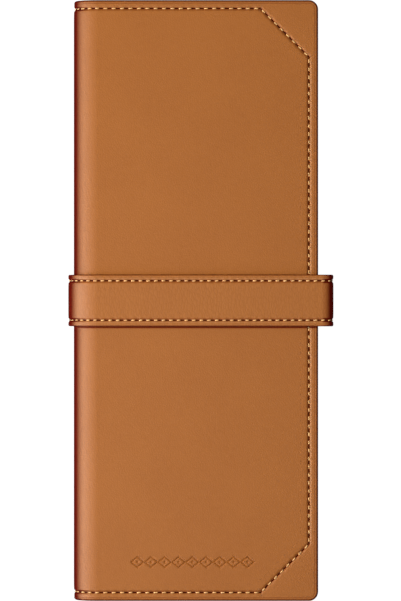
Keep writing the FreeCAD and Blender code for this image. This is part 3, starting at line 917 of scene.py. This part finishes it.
LINING_LAYERS = [
    lining_layer(0, shaped=True),
    lining_layer(0.45),
    lining_layer(LINING - 0.04),
]


def lining_marks(s, v):
    return (*case_seam(s, v), 0 * s)


def lining_samples():
    near = join(rounded_edge(0.3, 3), steps(0.3, 0.8, 0.25), steps(0.8, 2.6, 0.18), steps(2.6, 6, 0.6))
    return both_sides(HALF, join(near, steps(6, HALF, 3.2))) / HALF


def case_lining():
    across = lining_samples()
    near = HEM_SIDE + join(rounded_edge(0.3, 3), steps(0.3, 3, 0.2), steps(3, 6, 0.6))
    along = join(near, steps(9, SEAM_SIDE + SEAM_CUT + 2, 0.8), steps(28, FLAT - 5, 3.2))
    along = join(along, steps(FLAT - 5, FLAT - 0.1, 0.4), FLAT - 0.06, FLAT)
    for body, samples, ends in (
        ("back", along, (True, False)),
        ("cover", CASE_LENGTH - along[::-1], (False, True)),
    ):
        piece = sheet(
            f"{body}_suede", CASE, samples, across, LINING_LAYERS, lining_marks, SUEDE, finished=ends
        )
        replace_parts(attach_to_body(piece, body), f"{body}_lining")
    segments = spine_segments(CASE, FLAT, math.pi * ROLL, -SKIN - LINING / 2)
    for index, (start, end, segment) in enumerate(segments):
        piece = sheet(
            f"spine_suede_{index + 1}", CASE, curved(start, end, 0.6), across,
            LINING_LAYERS, lining_marks, SUEDE,
        )
        attach(piece, segment)
        if index:
            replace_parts(piece, f"spine_lining_{index}")


def seam_runs():
    """Round both panels and across the spine at both ends, as one sewn line."""
    runs = []
    for side in (1, -1):
        v_end, v_hip = side * (HALF - SEAM_END), side * SIDE_REACH
        runs.append(Run((END_START, v_end), (CASE_LENGTH - END_START, v_end), END_STITCHES))
        for near in (True, False):
            far_s = END_START if near else CASE_LENGTH - END_START
            near_s = SEAM_SIDE if near else CASE_LENGTH - SEAM_SIDE
            runs.append(Run((near_s, v_hip), (far_s, v_end), CORNER_STITCHES))
    for near_s in (SEAM_SIDE, CASE_LENGTH - SEAM_SIDE):
        runs.append(Run((near_s, -SIDE_REACH), (near_s, SIDE_REACH), SIDE_STITCHES))
    return runs


def case_stitches():
    runs = seam_runs()
    stretches = [("back", 0, FLAT, ("back",)), ("cover", CASE_LENGTH - FLAT, CASE_LENGTH, ("cover",))]
    for index, (low, high, segment) in enumerate(spine_segments(CASE, FLAT, math.pi * ROLL, -SKIN)):
        stretches.append((f"spine_{index + 1}", low, high, segment))
    for name, low, high, segment in stretches:
        outer = stitches(f"{name}_stitches", CASE, runs, low, high, -0.68, 1, WAXED_THREAD)
        attach(outer, segment)
        if len(segment) == 1:
            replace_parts(outer, f"{name}_seam_thread")
        level = 0.3 - float(case_thick(np.array([(low + high) / 2]))[0])
        inner = stitches(f"{name}_inner_stitches", CASE, runs, low, high, level, -1, WAXED_THREAD)
        attach(inner, segment)


# ---------------------------------------------------------------- the strap


STRAP_ROWS = round((STRAP.length - 2 * STRAP_SEAM) / STRAP_STITCH)
STRAP_CROSS = round(2 * (STRAP_HALF - STRAP_SEAM) / STRAP_STITCH)


def strap_seam(s, v):
    """Stitches counted along the nearest row, distance inside it, and distance from the edge."""
    edge = STRAP_HALF - np.abs(v)
    end = np.minimum(s, STRAP.length - s)
    row_phase = (s - STRAP_SEAM) / (STRAP.length - 2 * STRAP_SEAM) * STRAP_ROWS
    cross_phase = (v / (STRAP_HALF - STRAP_SEAM) + 1) / 2 * STRAP_CROSS
    nearest = np.minimum(edge, end)
    return np.where(end < edge, cross_phase, row_phase), nearest - STRAP_SEAM, nearest


def strap_marks(s, v):
    phase, inside, _ = strap_seam(s, v)
    edge = from_outline(np.minimum(s, STRAP.length - s), STRAP_HALF - np.abs(v), STRAP_CORNER)
    return phase, inside, 0.85 * (1 - smooth(edge, 0.1, 0.6))


def strap_fit(s, v, inset=0.0):
    a, b = np.minimum(s, STRAP.length - s), STRAP_HALF - np.abs(v)
    a, b = fit_corner(a, b, STRAP_CORNER, inset, inset)
    return np.where(s < STRAP.length / 2, a, STRAP.length - a), np.sign(v) * (STRAP_HALF - b)


def strap_show(s, v):
    _, inside, edge = strap_seam(s, v)
    n = -fallen(edge, 0.7) - pulled_in(inside, 0.45, 0.18, 1.1)
    return (*strap_fit(s, v), n)


def strap_inner(s, v):
    _, inside, edge = strap_seam(s, v)
    n = -2 * PLY + fallen(edge, 0.45) + pulled_in(inside, 0.25, 0.10, 1.1)
    return (*strap_fit(s, v), n)


def strap_rim(inset, depth):
    return lambda s, v: (*strap_fit(s, v, inset), -depth + 0 * s)


STRAP_FACE = [strap_show, strap_rim(0, PLY - 0.14), strap_rim(0.12, PLY), strap_rim(0.12, PLY)]
STRAP_BACKING = [strap_inner, strap_rim(0, PLY + 0.14), strap_rim(0.12, PLY), strap_rim(0.12, PLY)]
STRAP_NEAR = join(
    rounded_edge(0.7, 5), steps(0.7, STRAP_SEAM - 1.0, 0.3),
    steps(STRAP_SEAM - 1.1, STRAP_SEAM + 1.1, 0.15), steps(STRAP_SEAM + 1.1, 5.4, 0.4),
)
STRAP_ACROSS = both_sides(STRAP_HALF, join(STRAP_NEAR, steps(5.4, STRAP_HALF, 1.1)))


def strap_stretches():
    """Name, start, end, how it moves, and which CAD nodes its two plies stand for."""
    flex_end = ARM_START + ARM_FLEX
    tab_cut, under_cut = TAB_TOP - STRAP_BEND - PLY_OVERLAP, TAB_END + PLY_OVERLAP
    arm_cut, tail_cut = TAIL_START - PLY_OVERLAP, TAIL_END + PLY_OVERLAP
    middle = -PLY
    tab_bend = ("strap_tab", "back", STRAP.point(TAB_TOP - STRAP_BEND), STRAP.point(TAB_END))
    tail_bend = ("strap_arm", "strap_tail", STRAP.point(TAIL_START), STRAP.point(TAIL_END))
    flex = ("cover", "strap_arm", STRAP.point(ARM_START, middle), STRAP.point(flex_end, middle))
    found = [
        ("tab", 0.0, tab_cut, ("strap_tab",), ["tab_face"], ["tab_backing"]),
        ("tab_bend", tab_cut, under_cut, tab_bend, [], []),
        ("strap_under", under_cut, ROLL_START, ("back",), ["strap_back_face"], ["strap_back_backing"]),
    ]
    for index, (low, high, segment) in enumerate(
        spine_segments(STRAP, ROLL_START, ROLL_END - ROLL_START, middle)
    ):
        stood_for = [f"strap_link_{index}"] if index else []
        found.append((f"strap_roll_{index + 1}", low, high, segment, stood_for, []))
    found += [
        ("strap_saddle", ROLL_END, ARM_START, ("cover",), ["strap_saddle"], []),
        ("strap_flex", ARM_START, flex_end, flex, [], []),
        ("strap_arm", flex_end, arm_cut, ("strap_arm",), ["arm_face"], ["arm_backing"]),
        ("tail_bend", arm_cut, tail_cut, tail_bend, [], []),
        ("tail", tail_cut, STRAP.length, ("strap_tail",), ["tail_face"], ["tail_backing"]),
    ]
    return found


def strap_runs():
    side = STRAP_HALF - STRAP_SEAM
    low, high = STRAP_SEAM, STRAP.length - STRAP_SEAM
    runs = [Run((low, v), (high, v), STRAP_ROWS) for v in (side, -side)]
    return runs + [Run((s, -side), (s, side), STRAP_CROSS) for s in (low, high)]


def strap():
    runs = strap_runs()
    threads = {"strap_under": "strap_back_thread", "strap_arm": "arm_thread"}
    for name, low, high, segment, face_nodes, backing_nodes in strap_stretches():
        ends = (low == 0.0, high == STRAP.length)
        along = curved(low, high, 0.5 if len(segment) > 1 else 1.6)
        if ends[0]:
            along = join(STRAP_NEAR, along[along > 5.4])
        if ends[1]:
            along = join(STRAP.length - STRAP_NEAR, along[along < STRAP.length - 5.4])
        for ply, layers, nodes in (
            ("face", STRAP_FACE, face_nodes), ("backing", STRAP_BACKING, backing_nodes)
        ):
            piece = sheet(
                f"{name}_{ply}_ply", STRAP, along, STRAP_ACROSS, layers, strap_marks,
                STRAP_LEATHER, finished=ends,
            )
            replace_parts(attach(piece, segment), *nodes)
        outer = stitches(f"{name}_stitches", STRAP, runs, low, high, -0.68, 1, WAXED_THREAD)
        inner = stitches(
            f"{name}_inner_stitches", STRAP, runs, low, high, 0.35 - 2 * PLY, -1, WAXED_THREAD
        )
        for piece in (outer, inner):
            attach(piece, segment)
        if name in threads:
            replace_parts(outer, threads[name])


# ---------------------------------------------------------------- inside the case


def plain_marks(s, v):
    return 0.5 + 0 * s, 9 + 0 * s, 0 * s


def side_flap():
    """Leather and lining, in three stretches: foot and lower wall, fold, and loose leaf."""
    half, corner, seam = span("flap_panel")[1].y, 9.0, 3.0
    plies = (("leather", 0.0, PANEL_LEATHER), ("suede", -FLAP_THICK / 2, SUEDE))

    def marks(s, v):
        a, b = s, half - np.abs(v)
        edge = from_outline(a, b, corner)
        return np.where(a < b, v, s) / STRAP_STITCH, edge - seam, 0.9 * (1 - smooth(edge, 0.1, 0.6))

    def fit(s, v, inset):
        a, b = fit_corner(s, half - np.abs(v), corner, inset, inset)
        return a, np.sign(v) * (half - b)

    wall_cut = (FLAP_WALL + FLAP_FOOT) / 2
    fold = ("flap_wall", "flap_panel", FLAP.point(FLAP_WALL), FLAP.point(FLAP_FOLD))
    foot = ("back", "flap_wall", FLAP.point(FLAP_FOOT + 3.1), FLAP.point(FLAP_FOOT))
    near = join(rounded_edge(0.3, 3), steps(0.3, 2.2, 0.4), steps(2.2, 3.8, 0.18), steps(3.8, 9, 0.5))
    across = both_sides(half, join(near, steps(9, half, 2.6)))
    for name, low, high, segment, nodes in (
        ("flap_leaf", 0.0, FLAP_FOLD - 2, ("flap_panel",), ["flap_panel", "flap_panel_lining"]),
        ("flap_fold", FLAP_FOLD - 2, wall_cut, fold, []),
        ("flap_foot", wall_cut, FLAP.length, foot, ["flap_wall"]),
    ):
        along = curved(low, high, 0.4 if low else 1.6)
        if not low:
            along = join(near, along[along > 9])
        for ply, level, material in plies:
            outer = level == 0.0

            def show(s, v, level=level, outer=outer):
                edge = np.minimum(s, half - np.abs(v))
                drawn = fallen(edge, 0.3) + pulled_in(edge - seam, 0.12, 0.06, 1.1)
                return (*fit(s, v, 0), -drawn if outer else drawn - FLAP_THICK)

            def under(s, v):
                return (*fit(s, v, 0.05), -FLAP_THICK / 2 + 0 * s)

            piece = sheet(
                f"{name}_{ply}", FLAP, along, across, [show, under], marks, material,
                finished=(low == 0.0, high == FLAP.length),
            )
            attach(piece, segment)
            if nodes and (outer or len(nodes) > 1):
                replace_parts(piece, nodes[0] if outer else nodes[1])


BED = BACK_HIGH.z


def channel_path(left, pitch, count, radius, straight, wall):
    """The outer face of a sheet that is sewn down between arches standing on the lining."""
    web = pitch / 2 - radius - 0.5
    path = Path(left, BED + wall, 0)
    for _ in range(count):
        path.straight(web).turn(-0.5, 90).straight(radius + straight - wall - 0.5 - radius)
        path.turn(radius, 180).straight(straight - wall - 0.5).turn(-0.5, 90).straight(web)
    return path


def valleys(path, count):
    """Places along a channel path where it is sewn down: beside and between the arches."""
    return np.linspace(0, path.length, count + 1)


def brush_sleeves():
    low, high = span("brush_sleeves")
    wall, radius, count = 0.8, 7.0, 6
    straight = high.z - BED - radius
    path = channel_path(low.x, 15.0, count, radius, straight, wall)
    sewn = valleys(path, count)

    def foot(s, v, n):
        """Sinks the channels towards their closed feet."""
        points = path.place(s, v, n)
        share = 0.12 + 0.88 * smooth(points[..., 1], low.y, low.y + 9)
        points[..., 2] = BED + (points[..., 2] - BED) * share
        return points

    def held(s, v):
        nearest = np.min(np.abs(s[..., None] - sewn), axis=-1)
        return (nearest < 1.2) | (v < low.y + 0.5)

    grid = steps(0, path.length, 1.6), steps(low.y, high.y, 3.0)
    slack = simulated(foot, *grid, held, pressure=4.0, limit=1.0)

    class Filled:
        place = staticmethod(lambda s, v, n: foot(s, v, n) + slack(s, v))

    along = join(steps(0, path.length, 0.6))
    lower, upper = steps(low.y, low.y + 12, 0.6), steps(high.y - 4, high.y, 0.4)
    across = join(lower, steps(low.y + 12, high.y - 4, 1.6), upper)
    layers = [lambda s, v: (s, v, 0 * s), lambda s, v: (s, v, -wall + 0 * s)]
    piece = sheet(
        "brush_channels", Filled, along, across, layers, plain_marks, SLEEVE_CLOTH,
        finished=(True, True),
    )
    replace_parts(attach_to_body(piece, "back"), "brush_sleeves")

    edge, depth, seam = 5.2, 0.45, 1.3
    bound = high.y - edge + join(rounded_edge(0.3, 3), steps(0.3, edge - 0.3, 0.3), edge)

    def binding_marks(s, v):
        inside = v - (high.y - edge) - seam
        return s / STRAP_STITCH, inside, 0.8 * (1 - smooth(inside + seam, 0.0, 0.4))

    def binding_show(s, v):
        inside = v - (high.y - edge) - seam
        drawn = fallen(inside + seam, 0.3) + fallen(high.y - v, 0.3) + pulled_in(inside, 0.15, 0.0)
        return s, v, depth - drawn

    def binding_under(s, v):
        return s, v, 0.02 + 0 * s

    binding = sheet(
        "sleeve_binding", Filled, along, bound, [binding_show, binding_under], binding_marks,
        BINDING_LEATHER, finished=(True, True),
    )
    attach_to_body(binding, "back")
    rows = [Run((s, low.y + 1), (s, high.y - edge), 24) for s in sewn[1:-1]]
    hem = high.y - edge + seam
    rows += [Run((a + 2, hem), (b - 2, hem), 7) for a, b in zip(sewn, sewn[1:])]
    sewing = stitches("sleeve_stitches", Filled, rows, -1, path.length + 1, 0.02, 1, WAXED_THREAD)
    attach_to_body(sewing, "back")


def elastic_loops():
    for name in ("elastic_loops_lower", "elastic_loops_upper"):
        low, high = span(name)
        wall, radius = 0.9, 6.4
        path = channel_path(low.x, 15.0, 6, radius, high.z - BED - radius, wall)
        along = steps(0, path.length, 0.6)
        edge = join(rounded_edge(0.3, 3), steps(0.3, 2, 0.5))
        across = (low.y + high.y) / 2 + both_sides((high.y - low.y) / 2, join(edge, steps(2, 9, 1.5)))

        def show(s, v, low=low, high=high):
            edge = np.minimum(v - low.y, high.y - v)
            return s, v, -fallen(edge, 0.3)

        def under(s, v, wall=wall):
            return s, v, -wall + 0 * s

        piece = sheet(
            name.replace("loops", "band"), path, along, across, [show, under], plain_marks,
            ELASTIC, finished=(True, True),
        )
        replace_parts(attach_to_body(piece, "back"), name)
        rows = [Run((s, low.y + 1.2), (s, high.y - 1.2), 4) for s in valleys(path, 6)[1:-1]]
        tacks = stitches(
            name.replace("loops", "tacks"), path, rows, -1, path.length + 1, 0.02, 1, WAXED_THREAD
        )
        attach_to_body(tacks, "back")


def cover_pocket():
    """A slip pocket on the cover's lining, soft and slightly full, with a bound mouth. Its lower
    corner is cut as the case's seam cuts it."""
    low, high = span("cover_pocket")
    start, end = CASE_LENGTH - (EDGE_X - low.x), CASE_LENGTH - (EDGE_X - high.x)
    base, seam, band, depth = -COVER_THICK, 1.4, 6.0, 0.4

    def bottom(s):
        return np.maximum(low.y, HEM_CUT + 1.2 - HALF - (CASE_LENGTH - s))

    def fitted(s, v):
        return high.y - (high.y - v) * (high.y - bottom(s)) / (high.y - low.y)

    def border(s, v):
        return np.minimum(np.minimum(s - start, end - s), v - low.y)

    def resting(s, v, n):
        return CASE.place(s, fitted(s, v), base - 0.45 - 0.6 * smooth(border(s, v), seam, 16) - n)

    def held(s, v):
        return border(s, v) < seam + 1.0

    grid = steps(start, end, 3.0), steps(low.y, high.y, 3.0)
    slack = simulated(resting, *grid, held, pressure=-0.4, limit=0.6)

    def face(s, v):
        return base - 0.45 - 0.6 * smooth(border(s, v), seam, 16) + slack(s, v)[..., 2]

    def show(s, v):
        edge = np.minimum(border(s, v), high.y - v)
        drawn = fallen(edge, 0.35) + pulled_in(border(s, v) - seam, 0.12, 0.08, 1.1)
        return s, fitted(s, v), face(s, v) + drawn

    def under(s, v):
        return s, fitted(s, v), base - 0.03 + 0 * s

    near = join(rounded_edge(0.35, 3), steps(0.35, 3, 0.22), steps(3, 8, 0.8))
    inner = steps(8, (end - start) / 2, 2.4)
    along = (start + end) / 2 + both_sides((end - start) / 2, join(near, inner))
    tall = (high.y - low.y) / 2
    across = (low.y + high.y) / 2 + both_sides(tall, join(near, steps(8, tall, 2.4)))
    piece = sheet(
        "slip_pocket", CASE, along, across, [show, under], plain_marks, POCKET_CLOTH,
        finished=(True, True),
    )
    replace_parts(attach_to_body(piece, "cover"), "cover_pocket")

    def band_marks(s, v):
        inside = v - (high.y - band) - seam
        return s / STRAP_STITCH, inside, 0.8 * (1 - smooth(inside + seam, 0.0, 0.4))

    def band_show(s, v):
        edge = np.minimum(v - (high.y - band), high.y - v)
        drawn = fallen(edge, 0.3) + pulled_in(v - (high.y - band) - seam, 0.12, 0.0)
        return s, v, face(s, v) - depth + drawn

    def band_under(s, v):
        return s, v, face(s, v) - 0.02

    mouth = high.y - band + join(rounded_edge(0.3, 3), steps(0.3, band - 0.3, 0.25), band)
    binding = sheet(
        "pocket_binding", CASE, along, mouth, [band_show, band_under], band_marks,
        BINDING_LEATHER, finished=(True, True),
    )
    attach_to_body(binding, "cover")
    cut_v = bottom(end) + seam
    cut_s = CASE_LENGTH - (HEM_CUT + 1.2 - HALF - low.y) + seam
    left, right, foot = start + seam, end - seam, low.y + seam
    corners = ((left, high.y - band), (left, foot), (cut_s, foot), (right, cut_v), (right, high.y - band))
    rows = [
        Run(a, b, round(math.dist(a, b) / STRAP_STITCH)) for a, b in zip(corners, corners[1:])
    ]
    sewing = stitches("pocket_stitches", CASE, rows, start, end, base - 0.35, -1, WAXED_THREAD)
    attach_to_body(sewing, "cover")
    hem = high.y - band + seam
    row = [Run((left + 1, hem), (right - 1, hem), round((right - left) / STRAP_STITCH))]

    class Mouth:
        place = staticmethod(lambda s, v, n: CASE.place(s, v, face(s, v) - depth + 0.2 - n))

    sewing = stitches("pocket_mouth_stitches", Mouth, row, start, end, 0, 1, WAXED_THREAD)
    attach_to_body(sewing, "cover")


def padding():
    """Felt between the cover's leather and its board."""
    low, high = span("cover_padding")
    start, end = CASE_LENGTH - (EDGE_X - low.x), CASE_LENGTH - (EDGE_X - high.x)
    top, thick = -(COVER_HIGH.z - high.z), high.z - low.z

    def face(level, sign):
        def layer(s, v):
            edge = np.minimum(np.minimum(s - start, end - s), high.y - np.abs(v))
            return s, v, level - sign * fallen(edge, 0.35)

        return layer

    near = join(rounded_edge(0.35, 3), steps(0.35, 4, 1.2))
    along = (start + end) / 2 + both_sides((end - start) / 2, join(near, steps(4, 48, 4)))
    across = both_sides(high.y, join(near, steps(4, high.y, 5)))
    piece = sheet(
        "cover_felt", CASE, along, across, [face(top, 1), face(top - thick, -1)], plain_marks,
        PADDING, finished=(True, True),
    )
    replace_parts(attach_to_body(piece, "cover"), "cover_padding")


def hard_parts():
    """Boards and magnets keep their CAD shapes."""
    for node, material in (
        ("back_board", BOARD), ("cover_board", BOARD), ("tab_magnet", STEEL), ("tail_magnet", STEEL)
    ):
        mesh = frame["nodes"][node].data
        mesh.materials.clear()
        mesh.materials.append(material)


# ---------------------------------------------------------------- floor, light and camera

FRAME_TALL = 269.9  # how much of the case's plane the picture is tall, at the cover's height
CAMERA_X = 2.15
LENS, SENSOR = 300.0, 36.0


def floor():
    """A pale sweep of paper, lit from within so that it is white in front of the camera."""
    mesh = bpy.data.meshes.new("floor")
    size = 3.0
    corners = [(-size, -size), (size, -size), (size, size), (-size, size)]
    mesh.from_pydata([(x, y, -0.0003) for x, y in corners], [], [(0, 1, 2, 3)])
    shader = Shader("pale_floor")
    seen = shader.add("ShaderNodeLightPath").outputs["Is Camera Ray"]
    glow = shader.math("MULTIPLY_ADD", seen, 0.76, 0.22)
    shader.finish(
        Base_Color=(0.12, 0.12, 0.12, 1), Roughness=0.9, Specular_IOR_Level=0.0,
        Emission_Color=(1, 1, 1, 1), Emission_Strength=glow,
    )
    mesh.materials.append(shader.material)
    plane = bpy.data.objects.new("floor", mesh)
    plane.visible_glossy = False
    bpy.context.scene.collection.objects.link(plane)


def lamp(name, place, target, size, power, shine):
    """A soft box. It either lights surfaces or is mirrored by them, as shine tells."""
    light = bpy.data.lights.new(name, "AREA")
    light.shape = "RECTANGLE"
    light.size, light.size_y = size
    light.energy = power
    item = bpy.data.objects.new(name, light)
    item.location = place
    item.rotation_euler = (Vector(target) - Vector(place)).to_track_quat("-Z", "Y").to_euler()
    item.visible_diffuse = not shine
    item.visible_glossy = shine
    item.visible_camera = False
    bpy.context.scene.collection.objects.link(item)


def studio():
    """Even light from above the floor, a key from the lower left, and a tall box to shine."""
    world = bpy.data.worlds.new("studio")
    world.use_nodes = True
    tree = world.node_tree
    place = tree.nodes.new("ShaderNodeTexCoord")
    parts = tree.nodes.new("ShaderNodeSeparateXYZ")
    level = tree.nodes.new("ShaderNodeMapRange")
    tree.links.new(place.outputs["Generated"], parts.inputs[0])
    tree.links.new(parts.outputs["Z"], level.inputs["Value"])
    for key, value in (("From Min", -0.02), ("From Max", 0.10), ("To Min", 0.0), ("To Max", 0.42)):
        level.inputs[key].default_value = value
    seen = tree.nodes.new("ShaderNodeLightPath").outputs["Is Camera Ray"]
    brightest = tree.nodes.new("ShaderNodeMath")
    brightest.operation = "MAXIMUM"
    tree.links.new(seen, brightest.inputs[0])
    tree.links.new(level.outputs[0], brightest.inputs[1])
    background = tree.nodes["Background"]
    background.inputs["Color"].default_value = (1, 1, 1, 1)
    tree.links.new(brightest.outputs[0], background.inputs["Strength"])
    bpy.context.scene.world = world
    bpy.context.scene.view_settings.view_transform = "Standard"
    lamp("key", (-0.52, 0.02, 0.62), (0, 0, 0.02), (0.3, 0.4), 6.3, shine=False)
    lamp("shine", (-0.25, -0.12, 0.24), (0, 0, 0.02), (0.2, 0.6), 1.3, shine=True)
    lamp("low_shine", (-0.85, -0.20, 0.22), (0, 0, 0.02), (0.9, 0.36), 17.0, shine=True)


def camera():
    data = bpy.data.cameras.new("camera")
    data.lens, data.sensor_width = LENS, SENSOR
    item = bpy.data.objects.new("camera", data)
    distance = FRAME_TALL / 2 / (SENSOR / 2 / LENS)
    item.location = Vector((CAMERA_X, 0, COVER_HIGH.z + distance)) * MM
    data.clip_end = 20.0
    bpy.context.scene.collection.objects.link(item)
    bpy.context.scene.camera = item


# ---------------------------------------------------------------- build

brush_sleeves()
cover_pocket()
elastic_loops()
case_leather()
case_lining()
case_stitches()
strap()
side_flap()
padding()
hard_parts()
floor()
studio()
camera()
